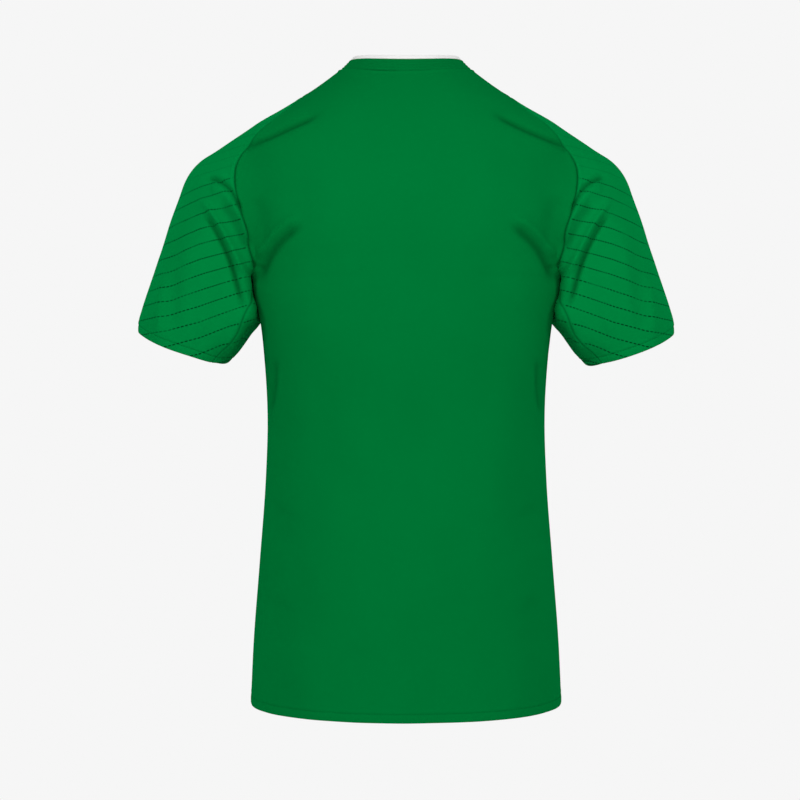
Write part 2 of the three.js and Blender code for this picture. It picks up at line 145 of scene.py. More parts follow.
# Sections across the arm: how far along, the middle's place out from the axis, half the
# height, half the depth, and a power that squares off the side that lies against the body.
ARM = np.array([
    (0, 0, 74.3, 71, 2.15),
    (40, 8.8, 66.6, 74, 3.2),
    (73, 19.2, 55.6, 75, 6),
    (84, 16.8, 58.2, 75.5, 6.6),
    (94, 14.3, 60.8, 76, 6.8),
    (104, 11.5, 63.7, 76, 7),
    (115, 9.3, 66.1, 76, 7),
    (124, 10.5, 65, 75.6, 6.4),
    (131, 12, 63.6, 75, 5.8),
    (146, 14.1, 61.4, 73, 4.8),
    (160, 15.9, 58.9, 70, 4),
    (172, 17, 54.3, 67, 3.2),
    (200, 20, 48, 63, 2.5),
])
ARM_POWER = 2.15
SHOULDER_X = 189.0
SHOULDER_DROP = 162.0
SHOULDER_CAP = 70.0
ARM_TILT = math.radians(18)

# How the sleeve runs into the body: softly above a reach of drops and sharply below it, and
# further down, for the cloth and for the way its wall faces, not at all
BLEND = (28.0, 3.0)
BLEND_REACH = (150.0, 212.0)
PARTING = (237.0, 258.0)
EDGE_PARTING = (170.0, 225.0)
PARTED = 60.0

# The armhole seam on the back, from the shoulder to the underarm: x, y, drop.
ARMHOLE = [
    (118, -4, 28.5), (121, 19, 33.5), (130, 36, 44.5), (146, 45, 57), (161, 49, 69), (174, 54, 84),
    (186, 57, 98), (192.5, 60, 108.5), (193.8, 63, 127), (190.5, 64, 149), (184.3, 64, 171),
    (179.7, 70, 192), (176.3, 70, 213), (173.6, 62, 227), (175.4, 44, 238), (176.8, 22, 241),
    (177, 0, 243),
]
FRONT_SCOOP = 6.0

# Hoops round the sleeve: share of the way from armhole to cuff, outer end x and drop,
# inner end x and drop, half the depth.
HOOPS = np.array([
    (0, 117, 30, 177, 243, 66),
    (0.17, 176, 63, 177.2, 248, 67),
    (0.33, 226, 98, 176.2, 256, 69),
    (0.5, 260, 138, 173.5, 271, 73),
    (0.67, 283, 205, 171.5, 289.5, 76),
    (0.83, 296.5, 250, 184.5, 309.5, 73),
    (1, 311, 303, 206.5, 338, 67),
])

# Folds: a line that starts and ends at the first and last of three places (x, drop) and bends
# towards the middle one, how wide it is, and how high it stands (a trough is below nought).
# Left and right are alike.
BACK_FOLDS = [
    # across the blades, from the underarm up towards the middle
    (170, 227, 158, 196, 117, 174, 5.0, 3.6),
    (168, 252, 159, 211, 113, 183, 5.6, -4.2),
    (177, 150, 158, 180, 164, 214, 10, -3.2),
    # from the armhole over the shoulder
    (192, 97, 150, 83.5, 92, 54, 4.4, -3.8),
    (168, 80, 140, 74, 96, 46, 8, -1.8),
    (180, 95.8, 173, 94.6, 164, 91.5, 2.2, 1.2),
    (184, 98.6, 175, 97, 162, 91.5, 2.4, -1.4),
    # the pinch above the underarm
    (176, 224, 171, 230, 162, 234, 2.4, -1.6),
    # the corners of the body and the sleeve, where they lie side by side
    (175, 215, 174, 265, 163, 345, 7, 3.6),
    # waist
    (145.6, 340, 140.5, 369, 154, 412, 3.0, 2.0),
    (151, 334, 144.5, 360, 156, 404, 5.0, -2.6),
    # soft hollows near the side seams
    (136, 500, 152, 522, 144, 556, 16, -2.8),
    (134, 604, 154, 636, 143, 664, 16, -2.8),
    # top of the sleeve, running into the armhole seam
    (231, 128, 196, 130, 185, 176, 2.4, -5.0),
    (224, 142, 208, 137, 192, 166, 6, 2.6),
    # the long fold down the sleeve
    (236, 150, 204, 184, 172, 268, 4.6, 4.4),
    (233, 165, 199.5, 196.5, 180, 290, 3.6, -5.0),
    (214, 158, 187, 178, 176, 218, 5.5, -3.2),
    # where the back of the sleeve turns under, along its seam
    (171, 262, 186, 298, 206, 332, 7, 3.0),
    # outer sleeve
    (275, 232, 283, 270, 279, 316, 6, 2.2),
    (259, 180, 267, 255, 264, 316, 9, -2.4),
    (228, 225, 226, 268, 229, 314, 9, 1.8),
]
FRONT_FOLDS = [
    (172, 226, 148, 206, 120, 190, 8, 2.4),
    (158, 262, 146, 216, 122, 196, 7, -3.6),
    (180, 100, 146, 90, 110, 66, 5.5, -2.2),
    (146, 356, 152, 384, 158, 420, 8, -2),
    (138, 470, 152, 500, 146, 540, 15, -2),
    (128, 610, 150, 640, 140, 676, 17, -2.4),
    (229, 132, 208, 132, 188, 166, 4.4, -3.6),
    (230, 158, 204, 194, 176, 240, 6.5, 3.0),
    (228, 172, 204, 204, 182, 262, 5.4, -4.2),
    (276, 236, 282, 262, 280, 300, 8, 1.6),
]
# Slow unevenness of the hanging cloth: how many millimetres between waves across and up,
# where the wave starts, and how high it is.
WAVES = [
    (131, 310, 0.4, 0.45),
    (-88, 205, 1.9, 0.3),
    (59, 420, 3.1, 0.3),
    (-170, 97, 5.0, 0.35),
    (47, -150, 2.2, 0.16),
]
WAVE_SHIFT_BEFORE = 1.7
WAVES_START = (10.0, 60.0)
FOLD_STEPS = 12
FOLD_FADE = 0.22
FACING_FADE = (0.06, 0.3)

# Rows of perforations on the sleeves, as an upright plane sees them: the drop of the faint
# upper rows and of the first full one where x is ROW_MIDDLE, the spacing of the full rows, and
# how steeply they climb towards the body on each side of that place, above and below. Past
# LEVEL_OUTSIDE they are that much less steep.
UPPER_ROWS = (82.0, 92.5, 102.6, 112.5, 123.6, 138.8)
CLEAR_ABOVE_FIRST = 2.0
FULL_ROWS = 16
FIRST_FULL_ROW = 152.7
ROW_SPACING = 17.6
ROW_MIDDLE = 233.0
CLIMB_INSIDE = (0.23, 0.38)
CLIMB_INSIDE_REACH = (170.0, 310.0)
CLIMB_OUTSIDE = (0.37, 0.26)
CLIMB_OUTSIDE_REACH = (205.0, 310.0)
LEVEL_OUTSIDE = (38.0, 0.13)
ROW_FAINT = 0.3
PLAIN_UNDER_ARM = (38.0, 60.0)
CLEAR_OF_UNDERARM = (1.5, 2.5)
CLEAR_OF_ARMHOLE = (1.5, 3.5)

# How finely the cloth is divided: millimetres between rows away from the edges, the rows and
# columns that a piece is first worked out on, and the places of the rows near its edges
BODY_PITCH = 5.0
ARMHOLE_PITCH = 2.5
SLEEVE_PITCH = 1.9
COLUMN_PITCH = 3.3
SLEEVE_TURN = math.radians(1.6)
SIDE_ROWS = 90
ARMHOLE_ROWS = 60
SHOULDER_ROWS = 26
PANEL_COLUMNS = 81
HOOP_ROWS = 60
SEAM_POINTS = 240
SEAM_SPACING = (0.0, 0.45, 1.0, 1.8, 2.8, 4.2, 5.6, 6.4, 8.4)
HEM_SPACING = (0.0, 0.5, 1.4, 3.0, 5.0, 7.0, 8.3, 9.0, 9.7, 10.4, 11.1, 12.6, 13.6, 16.0, 19.5)

# The most of a short row that its finely divided ends take up
SPACED_SHARE = 0.8
# How many steps bring a point onto the form, at first and once more
APPROACHES = 12
LAST_APPROACHES = 3
# Steps for telling a slope and for following a line, and the least that is divided by
PROBE = 0.5
LEAST_SLOPE = 0.05
LINE_STEP = 0.4
TINY = 1e-6


# Curves and fields


def ease(value, low, high):
    """0 below low, 1 above high, and smooth between."""
    t = np.clip((value - low) / (high - low), 0, 1)
    return t * t * (3 - 2 * t)


def eased(pair, value, reach):
    """From the first of a pair of numbers to the second, over a reach."""
    return pair[0] + (pair[1] - pair[0]) * ease(value, *reach)


def slopes_of(at, rows, flat_start):
    """The slope at each row of a smooth curve through the rows."""
    span = np.diff(at)
    secant = np.diff(rows, axis=0) / span[:, None]
    slopes = np.empty_like(rows)
    slopes[0] = 0 if flat_start else secant[0]
    slopes[-1] = secant[-1]
    before, after = span[:-1, None], span[1:, None]
    slopes[1:-1] = (after * secant[:-1] + before * secant[1:]) / (before + after)
    return slopes


def curve_through(table, flat_start=False):
    """A smooth curve through a table whose first column says where each row lies."""
    table = np.asarray(table, float)
    at, rows = table[:, 0], table[:, 1:]
    slopes = slopes_of(at, rows, flat_start)

    def read(where):
        place = np.clip(where, at[0], at[-1])
        i = np.clip(np.searchsorted(at, place) - 1, 0, len(at) - 2)
        span = (at[i + 1] - at[i])[:, None]
        t = (place - at[i])[:, None] / span
        rise = rows[i + 1] - rows[i]
        bend = (1 - t) * (slopes[i] * span - rise) + t * (rise - slopes[i + 1] * span)
        return rows[i] + rise * t + t * (1 - t) * bend

    return read


torso_at = curve_through(TORSO)
arm_at = curve_through(ARM, flat_start=True)
hoop_at = curve_through(HOOPS)


def torso_field(p):
    """How far points lie outside the body's level section."""
    half, back, front, power = torso_at(-p[:, 2]).T
    depth = np.where(p[:, 1] > 0, back, front)
    total = (np.abs(p[:, 0]) / half) ** power + (np.abs(p[:, 1]) / depth) ** power
    reach = np.maximum(total ** (1 / power), TINY)
    return np.hypot(p[:, 0], p[:, 1]) * (1 - 1 / reach)


def arm_field(p):
    """How far points lie outside the arm, which ends in a round cap at the shoulder."""
    dx = np.abs(p[:, 0]) - SHOULDER_X
    dz = p[:, 2] + SHOULDER_DROP
    along = dx * math.sin(ARM_TILT) - dz * math.cos(ARM_TILT)
    out = dx * math.cos(ARM_TILT) + dz * math.sin(ARM_TILT)
    middle, half, depth, inner = arm_at(along).T
    cap = np.minimum(along, 0)
    v = out - middle
    power = np.where(v < 0, inner, ARM_POWER)
    total = (
        (np.abs(v) / half) ** power
        + (np.abs(p[:, 1]) / depth) ** power
        + (np.abs(cap) / SHOULDER_CAP) ** power
    )
    reach = np.maximum(total ** (1 / power), TINY)
    return np.sqrt(v**2 + p[:, 1] ** 2 + cap**2) * (1 - 1 / reach)


def field(p, side, parting=PARTING):
    """How far points lie outside the jersey, as its body or its sleeve sees it."""
    drop = -p[:, 2]
    softness = eased(BLEND, drop, BLEND_REACH)
    apart = PARTED * ease(drop, *parting)
    torso = torso_field(p) + (apart if side == "sleeve" else 0)
    arm = arm_field(p) + (apart if side == "body" else 0)
    h = np.clip(0.5 + (arm - torso) / (2 * softness), 0, 1)
    return arm + (torso - arm) * h - softness * h * (1 - h)


def gradient(p, side, parting=PARTING):
    slopes = []
    for axis in range(3):
        step = np.zeros(3)
        step[axis] = PROBE
        ahead, behind = field(p + step, side, parting), field(p - step, side, parting)
        slopes.append((ahead - behind) / (2 * PROBE))
    return np.stack(slopes, axis=1)


def unit(v):
    return v / np.maximum(np.linalg.norm(v, axis=-1, keepdims=True), TINY)


def onto_form(guess, side, approaches=APPROACHES):
    """Points moved to the nearest place on the form, before it is folded."""
    shape = guess.shape
    p = guess.reshape(-1, 3).copy()
    for _ in range(approaches):
        g = gradient(p, side)
        steepness = np.maximum((g**2).sum(axis=1), LEAST_SLOPE)
        p -= g * (field(p, side) / steepness)[:, None]
    return p.reshape(shape)


def runs_of(line):
    """The distance along a line of points to each of them."""
    return np.concatenate([[0], np.cumsum(np.linalg.norm(np.diff(line, axis=0), axis=1))])


def at_distances(line, distances):
    run = runs_of(line)
    return np.stack([np.interp(distances, run, line[:, k]) for k in range(3)], axis=1)


def spacing(length, count, near_start, near_end):
    """Distances along a line: set ones near each end, and even ones between."""
    start, end = np.asarray(near_start), length - np.asarray(near_end)[::-1]
    even = np.linspace(start[-1], end[0], count + 2)[1:-1]
    return np.concatenate([start, even, end])


def respaced(lines, pitch, near_start, near_end):
    """Each line's points set at the same number of places, finer near its ends."""
    longest = max(runs_of(line)[-1] for line in lines)
    edges = near_start[-1] + near_end[-1]
    count = max(int((longest - edges) / pitch), 1)
    out = []
    for line in lines:
        length = runs_of(line)[-1]
        fit = min(1.0, SPACED_SHARE * length / max(edges, TINY))
        start = [fit * d for d in near_start]
        end = [fit * d for d in near_end]
        out.append(at_distances(line, spacing(length, count, start, end)))
    return np.array(out)


# Seams


def traced(points, side):
    """A smooth line through a few points, drawn onto the form."""
    points = np.asarray(points, float)
    table = np.column_stack([runs_of(points), points])
    line = curve_through(table)(np.linspace(0, table[-1, 0], SEAM_POINTS))
    return onto_form(line, side)


def armhole_line(behind):
    """The armhole seam from the underarm up to the shoulder."""
    rows = []
    for i, (x, y, drop) in enumerate(ARMHOLE):
        scoop = 0 if behind else FRONT_SCOOP * math.sin(math.pi * i / (len(ARMHOLE) - 1))
        rows.append((x - scoop, y if behind or i == 0 else -y, -drop))
    return traced(rows[::-1], "body")


armhole_lines = {"back": armhole_line(True), "front": armhole_line(False)}
for end in (0, -1):
    armhole_lines["front"][end] = armhole_lines["back"][end]
shoulder_line = traced([armhole_lines["back"][-1], NECK_SIDE], "body")
shoulder_line[0] = armhole_lines["back"][-1]


# Relief


def fold_height(p, widest=math.inf):
    """How far the folds, or the narrow ones alone, push the cloth out at each point."""
    height = np.zeros(len(p))
    flat = np.column_stack([np.abs(p[:, 0]), p[:, 2]])
    for behind, folds in ((True, BACK_FOLDS), (False, FRONT_FOLDS)):
        here = p[:, 1] > 0 if behind else p[:, 1] <= 0
        for x0, d0, x1, d1, x2, d2, width, tall in folds:
            if width > widest:
                continue
            t = np.linspace(0, 1, FOLD_STEPS + 1)[:, None]
            bend = np.array([(x0, -d0), (x1, -d1), (x2, -d2)], float)
            path = (1 - t) ** 2 * bend[0] + 2 * t * (1 - t) * bend[1] + t**2 * bend[2]
            reach = 3 * width
            low, high = path.min(axis=0) - reach, path.max(axis=0) + reach
            near = np.flatnonzero(here & (flat > low).all(axis=1) & (flat < high).all(axis=1))
            if len(near) == 0:
                continue
            place = flat[near]
            nearest = np.full(len(near), np.inf)
            share = np.zeros(len(near))
            for i in range(FOLD_STEPS):
                run = path[i + 1] - path[i]
                off = place - path[i]
                s = np.clip(off @ run / (run @ run), 0, 1)
                distance = np.linalg.norm(off - s[:, None] * run, axis=1)
                closer = distance < nearest
                nearest[closer] = distance[closer]
                share[closer] = (i + s[closer]) / FOLD_STEPS
            end = ease(np.minimum(share, 1 - share), 0, FOLD_FADE)
            height[near] += tall * end * np.exp(-((nearest / width) ** 2))
    return height


def waves(p):
    """How far the slow waves push the cloth out at each point."""
    height = np.zeros(len(p))
    for across, up, start, tall in WAVES:
        turn = p[:, 0] / across + p[:, 2] / up + np.where(p[:, 1] > 0, start, start + WAVE_SHIFT_BEFORE)
        height += tall * np.sin(2 * math.pi * turn)
    return height * ease(np.abs(p[:, 1]), *WAVES_START)


def bell(distance, width):
    return np.exp(-((distance / width) ** 2))


class Cloth:
    """A piece of cloth as a grid of points with the distances to its edges, in millimetres."""

    def __init__(self, form, side, round_it):
        rows, columns = form.shape[:2]
        flat = form.reshape(-1, 3)
        self.form, self.round_it = form, round_it
        self.normal = unit(gradient(flat, side)).reshape(form.shape)
        self.facing = unit(gradient(flat, side, EDGE_PARTING)).reshape(form.shape)
        facing_out = ease(np.abs(self.normal[..., 1].ravel()), *FACING_FADE)
        self.relief = (fold_height(flat) * facing_out + waves(flat)).reshape(rows, columns)
        self.wall = np.full((rows, columns), CLOTH)
        # Painted shade: how much the colour darkens at the bottom of each narrow fold
        narrow = fold_height(flat, NARROW_FOLD) * facing_out
        self.painted_shade = np.clip(-narrow / DEEP_FOLD, 0, 1).reshape(rows, columns)

    def outer(self):
        return self.form + self.normal * self.relief[..., None]

    def inner(self):
        return self.outer() - self.facing * self.wall[..., None]


def distances_along(form, axis, from_end=False):
    """The distance of each point of a grid from its first or last row (axis 0) or column (1)."""
    step = np.linalg.norm(np.diff(form, axis=axis), axis=-1)
    if from_end:
        step = np.flip(step, axis=axis)
    start = np.zeros_like(np.take(step, [0], axis=axis))
    run = np.concatenate([start, np.cumsum(step, axis=axis)], axis=axis)
    return np.flip(run, axis=axis) if from_end else run


# Body panels


def panel_form(name):
    """The rows of a body panel from hem to neck, with its side, armhole and shoulder seams."""
    behind = name == "back"
    facing = 1 if behind else -1
    neck = NECK_BACK_DROP if behind else NECK_FRONT_DROP
    hem = HEM_BACK_DROP if behind else HEM_FRONT_DROP
    level = LEVEL_BELOW[name]
    side_z = np.linspace(-HEM_SIDE_DROP, -UNDERARM_DROP, SIDE_ROWS)
    side = np.column_stack([torso_at(-side_z)[:, 0], np.zeros(SIDE_ROWS), side_z])
    side[-1] = armhole_lines[name][0]
    sections = []
    for line, count in (
        (side, SIDE_ROWS),
        (armhole_lines[name], ARMHOLE_ROWS),
        (shoulder_line, SHOULDER_ROWS),
    ):
        edge = at_distances(line, np.linspace(0, runs_of(line)[-1], count))
        drop = -edge[:, 2]
        sag = ease(drop, HEM_SIDE_DROP - HEM_SAG_REACH, HEM_SIDE_DROP)
        centre = np.where(
            drop < level, neck + drop * (level - neck) / level, drop + (hem - HEM_SIDE_DROP) * sag
        )
        section = torso_at(centre)
        depth = section[:, 1] if behind else section[:, 2]
        angle = np.linspace(-math.pi / 2, math.pi / 2, PANEL_COLUMNS)
        across, through = np.sin(angle), np.cos(angle)
        x = edge[:, :1] * across
        y = facing * depth[:, None] * through + edge[:, 1:2] * (1 - through)
        z = -centre[:, None] + (edge[:, 2:] + centre[:, None]) * (1 - through)
        guess = np.stack([x, y, z], axis=-1)
        rows = onto_form(guess, "body")
        rows[:, 0] = edge * (-1, 1, 1)
        rows[:, -1] = edge
        sections.append(rows)
    body, armhole, shoulder = even_rows(sections)
    pieces = []
    for rows, pitch, start, end in (
        (body, BODY_PITCH, HEM_SPACING, (0.0,)),
        (armhole, ARMHOLE_PITCH, (0.0,), (0.0,)),
        (shoulder, ARMHOLE_PITCH, (0.0,), SEAM_SPACING),
    ):
        columns = respaced(rows.transpose(1, 0, 2), pitch, start, end)
        pieces.append(columns.transpose(1, 0, 2))
    form = np.concatenate([pieces[0], pieces[1][1:], pieces[2][1:]])
    fitted = onto_form(form, "body", LAST_APPROACHES)
    fitted[:, 0], fitted[:, -1] = form[:, 0], form[:, -1]
    return fitted


def even_rows(sections):
    """The sections of a panel with as many columns in each, set by its longest row."""
    longest = max(runs_of(row)[-1] for rows in sections for row in rows)
    count = int((longest - 2 * SEAM_SPACING[-1]) / COLUMN_PITCH)
    for rows in sections:
        out = []
        for row in rows:
            places = spacing(runs_of(row)[-1], count, SEAM_SPACING, SEAM_SPACING)
            out.append(at_distances(row, places))
        yield np.array(out)


def body_cloth(name):
    form = panel_form(name)
    cloth = Cloth(form, "body", False)
    side = np.minimum(from_line(form, form[:, 0]), from_line(form, form[:, -1]))
    neck = distances_along(form, 0, True)
    hem = distances_along(form, 0)
    edge_drop = -form[:, :1, 2]
    armhole = ease(edge_drop, *ARMHOLE_STARTS) * (1 - ease(edge_drop, *ARMHOLE_ENDS))
    depth = SHALLOW_SEAM + (armhole_depth(form[:, :1]) - SHALLOW_SEAM) * armhole
    cloth.relief += seam_relief(side, depth) + lines_along(neck, NECK_LINES)
    cloth.relief += turn_up_relief(hem, HEM_STITCH)
    # Painted shade along the seams at the panel's edges
    cloth.painted_shade = np.maximum(cloth.painted_shade, bell(side, SEAM_SHADE_WIDTH))
    cloth.wall = wall_of(np.minimum(side, neck), hem)
    cloth.hem = hem
    draw_back(cloth.form, (slice(None), 0), (slice(None), 1))
    draw_back(cloth.form, (slice(None), -1), (slice(None), -2))
    draw_back(cloth.form, (-1,), (-2,))
    return cloth


def draw_back(form, edge, inner):
    """Leaves a hair's breadth between the pieces at a seam."""
    form[edge] += unit(form[inner] - form[edge]) * SEAM_HALF_GAP


def seam_relief(distance, depth):
    """The cloth rolls in at a seam, over the allowance pressed back behind it."""
    lip = SEAM_LIP * ease(distance, *SEAM_LIP_RISES) * (1 - ease(distance, *SEAM_LIP_FALLS))
    return lip - depth * bell(distance, SEAM_ROLL_WIDTH)


def armhole_depth(edge):
    """How far the armhole seam rolls in: less where it crosses the top of the shoulder."""
    return eased((SHALLOW_SEAM, ARMHOLE_SEAM), np.abs(edge[..., 1]), SHOULDER_TOP)


def from_line(form, line):
    """The distance of each point of a grid from a line of points."""
    fine = at_distances(line, np.arange(0, runs_of(line)[-1], LINE_STEP))
    tree = KDTree(len(fine))
    for k, point in enumerate(fine):
        tree.insert(point, k)
    tree.balance()
    nearest = [tree.find(point)[2] for point in form.reshape(-1, 3)]
    return np.array(nearest).reshape(form.shape[:2])


def lines_along(distance, lines):
    """How high soft lines stand at each distance from the edge that they follow."""
    return sum(tall * bell(distance - middle, width) for tall, middle, width in lines)


def turn_up_relief(distance, stitch):
    """The stitched line pulls in above the folded edge, and the edge itself is round."""
    swell = (TURN_UP_SWELL, stitch * 0.45, stitch * 0.4)
    return lines_along(distance - stitch, STITCHED_LINES) + lines_along(distance, (swell, FOLDED_EDGE))


def wall_of(seam, hem):
    """How thick the cloth is at each distance from a seam and from the hem."""
    allowance = eased((ALLOWANCE_WALL, CLOTH), seam, ALLOWANCE_ENDS)
    turned = eased((TURN_UP_WALL, CLOTH), hem, TURN_UP_ENDS)
    return np.maximum(allowance, turned) - EDGE_ROUND * bell(hem, EDGE_ROUND_WIDTH)


# Sleeves

UNDERARM_SHIFT = math.radians(48)
UNDERARM_SHIFT_REACH = (0.0, 0.55)
UNDERARM_CLEAR = math.radians(1)
UNDERARM_FINE = np.radians([-3.2, -2.0, -1.1, -0.5, 0.0, 0.5, 1.1, 2.0, 3.2])


def hoop(share, angle, mirror):
    """Places on the sleeve's hoops, for matching arrays of shares and angles."""
    out_x, out_drop, in_x, in_drop, depth = hoop_at(share).T
    along = (1 + np.cos(angle)) / 2
    lower = RIGHT_CUFF_LOWER * (1 - along / 2) if mirror < 0 else 0
    sag = (CUFF_SAG * np.sin(angle) ** 2 + lower) * share**3
    x = in_x + (out_x - in_x) * along
    z = -(in_drop + (out_drop - in_drop) * along) - sag
    return np.stack([x, depth * np.sin(angle), z], axis=1)


def sleeve_angles():
    """The columns round a sleeve, from the shoulder over the back, finer at the underarm seam."""
    even = np.arange(0, 2 * math.pi - SLEEVE_TURN / 2, SLEEVE_TURN)
    apart = np.abs(even - math.pi) > UNDERARM_FINE[-1] + UNDERARM_CLEAR
    return np.sort(np.concatenate([even[apart], math.pi + UNDERARM_FINE]))


def seam_loop(angles):
    """Places on the armhole seam for angles from the shoulder over the back and round."""
    half = angles / math.pi
    down, up = armhole_lines["back"][::-1], armhole_lines["front"]
    behind = at_distances(down, half[half <= 1] * runs_of(down)[-1])
    before = at_distances(up, (half[half > 1] - 1) * runs_of(up)[-1])
    return np.concatenate([behind, before])


def sleeve_cloth(mirror):
    columns = sleeve_angles()
    seam = seam_loop(columns)
    shares = np.linspace(0, 1, HOOP_ROWS)
    around = np.abs(columns - math.pi)
    window = np.cos(np.clip(around, 0, math.pi / 2)) ** 2
    first = hoop(np.zeros(len(columns)), columns, mirror)
    lines = []
    for share in shares:
        every = np.full(len(columns), share)
        angle = columns - UNDERARM_SHIFT * window * ease(share, *UNDERARM_SHIFT_REACH)
        lines.append(hoop(every, angle, mirror) + (seam - first) * (1 - share) ** 2)
    grid = np.array(lines)
    grid[..., 0] *= mirror
    drawn = onto_form(grid, "sleeve")
    drawn[0] = seam * (mirror, 1, 1)
    lengthways = respaced(drawn.transpose(1, 0, 2), SLEEVE_PITCH, SEAM_SPACING, HEM_SPACING)
    form = lengthways.transpose(1, 0, 2)
    seam_row = form[0].copy()
    form = onto_form(form, "sleeve", LAST_APPROACHES)
    form[0] = seam_row
    cloth = Cloth(form, "sleeve", True)
    armhole = from_line(form, np.concatenate([form[0], form[0, :1]]))
    hem = distances_along(form, 0, True)
    loop = np.concatenate([form, form[:, :1]], axis=1)
    round_run = distances_along(loop, 1)[:, :-1]
    seam_column = int(np.argmin(np.abs(columns - math.pi)))
    underarm = np.abs(round_run - round_run[:, seam_column : seam_column + 1])
    cloth.relief += seam_relief(armhole, armhole_depth(form[:1])) + turn_up_relief(hem, CUFF_STITCH)
    cloth.relief += lines_along(underarm, UNDERARM_LINES)
    # Painted shade along the armhole seam and the underarm seam
    cloth.painted_shade = np.maximum(cloth.painted_shade, bell(np.minimum(armhole, underarm), SEAM_SHADE_WIDTH))
    cloth.wall = wall_of(np.minimum(armhole, underarm + UNDERARM_NARROWER), hem)
    cloth.hem = hem
    behind = form[..., 1] > 0
    plain = np.where(behind | (columns < math.pi), 1, ease(underarm, *PLAIN_UNDER_ARM))
    plain *= ease(underarm, *CLEAR_OF_UNDERARM) * ease(armhole, *CLEAR_OF_ARMHOLE)
    cloth.rows, cloth.row_strength = perforated_rows(form, round_run, plain)
    draw_back(cloth.form, (0,), (1,))
    return cloth


def perforated_rows(form, round_run, plain):
    """For each point of a sleeve, its place along and across the rows, and how plain they are."""
    off, drop = np.abs(form[..., 0]) - ROW_MIDDLE, -form[..., 2]
    inside = eased(CLIMB_INSIDE, drop, CLIMB_INSIDE_REACH)
    outside = eased(CLIMB_OUTSIDE, drop, CLIMB_OUTSIDE_REACH)
    level = drop - inside * np.minimum(off, 0) - outside * np.maximum(off, 0)
    level += LEVEL_OUTSIDE[1] * np.maximum(off - LEVEL_OUTSIDE[0], 0)
    blank = 2 * UPPER_ROWS[0] - UPPER_ROWS[1]
    full = FIRST_FULL_ROW + ROW_SPACING * np.arange(FULL_ROWS)
    rows = np.concatenate([[blank], UPPER_ROWS, full])
    row = np.interp(level, rows, np.arange(len(rows)))
    strength = plain * eased((ROW_FAINT, 1), level, UPPER_ROWS[-2:])
    strength *= ease(level, blank, UPPER_ROWS[0] - CLEAR_ABOVE_FIRST)
    return np.stack([round_run, row], axis=-1), strength


# Collar


def neck_stations(back, front):
    """Places round the neck seam, with the way out of the collar and the way up it."""
    loop = np.concatenate([back.form[-1][:-1], front.form[-1][::-1][:-1]])
    normal = np.concatenate([back.normal[-1][:-1], front.normal[-1][::-1][:-1]])
    distance = runs_of(np.concatenate([loop, loop[:1]]))
    even = np.linspace(0, distance[-1], NECK_COLUMNS, endpoint=False)
    closed, facing = np.concatenate([loop, loop[:1]]), np.concatenate([normal, normal[:1]])
    point = np.stack([np.interp(even, distance, closed[:, k]) for k in range(3)], axis=1)
    out = unit(np.stack([np.interp(even, distance, facing[:, k]) for k in range(3)], axis=1))
    run = unit(np.roll(point, -1, axis=0) - np.roll(point, 1, axis=0))
    rise = unit(np.cross(run, out))
    rise *= np.where(rise[:, 2:] < 0, -1, 1)
    out = np.cross(run, rise)
    outwards = (out * unit(point * MOSTLY_LEVEL)).sum(axis=1, keepdims=True)
    out *= np.where(outwards < 0, -1, 1)
    rise = unit(rise * math.cos(COLLAR_LEAN) + out * math.sin(COLLAR_LEAN))
    return point, rise, out, even


def band(stations, heights, depths):
    """A closed band round the neck through a loop of (height, depth) places."""
    point, rise, out, _ = stations
    rows = []
    for height, depth in zip(heights, depths):
        curl = COLLAR_CURL * (height / COLLAR_WIDTH) ** 2
        rows.append(point + rise * height + out * (curl - depth))
    return np.array(rows)


# Meshes


def closed_faces(rows, columns, wrap_rows, wrap_columns):
    """The quads of a grid of points, which may close on itself either way."""
    i = np.arange(rows if wrap_rows else rows - 1)[:, None]
    j = np.arange(columns if wrap_columns else columns - 1)[None, :]
    i2, j2 = (i + 1) % rows, (j + 1) % columns
    corners = [i * columns + j, i * columns + j2, i2 * columns + j2, i2 * columns + j]
    whole = [np.broadcast_to(corner, (len(i), j.shape[1])) for corner in corners]
    return np.stack(whole, axis=-1).reshape(-1, 4)


def add_object(name, data):
    obj = bpy.data.objects.new(name, data)
    bpy.context.scene.collection.objects.link(obj)
    return obj


def add_uv(mesh, label, places):
    """A flat map of the mesh from a pair of numbers for each point."""
    layer = mesh.uv_layers.new(name=label)
    loops = np.empty(len(mesh.loops), dtype=np.int64)
    mesh.loops.foreach_get("vertex_index", loops)
    layer.data.foreach_set("uv", places[loops].ravel())


def add_value(mesh, label, values):
    """A number for each point of a cloth, the same on its two faces."""
    layer = mesh.attributes.new(label, "FLOAT", "POINT")
    layer.data.foreach_set("value", np.tile(values.ravel(), 2))


def mesh_object(name, points, faces, uv):
    """A smooth object from points in millimetres, with its faces turned outwards."""
    mesh = bpy.data.meshes.new(name)
    mesh.from_pydata((points * MM).tolist(), [], faces.tolist())
    add_uv(mesh, "cloth", uv * MM)
    mesh.polygons.foreach_set("use_smooth", np.ones(len(mesh.polygons), dtype=bool))
    if volume(points, faces) < 0:
        mesh.flip_normals()
    mesh.validate()
    mesh.update()
    return add_object(name, mesh)


def volume(points, faces):
    """A number whose sign says whether the faces are turned outwards."""
    a, b, c, d = (points[faces[:, k]] for k in range(4))
    one = (a * np.cross(b, c)).sum(axis=1)
    two = (a * np.cross(c, d)).sum(axis=1)
    return float((one + two).sum())


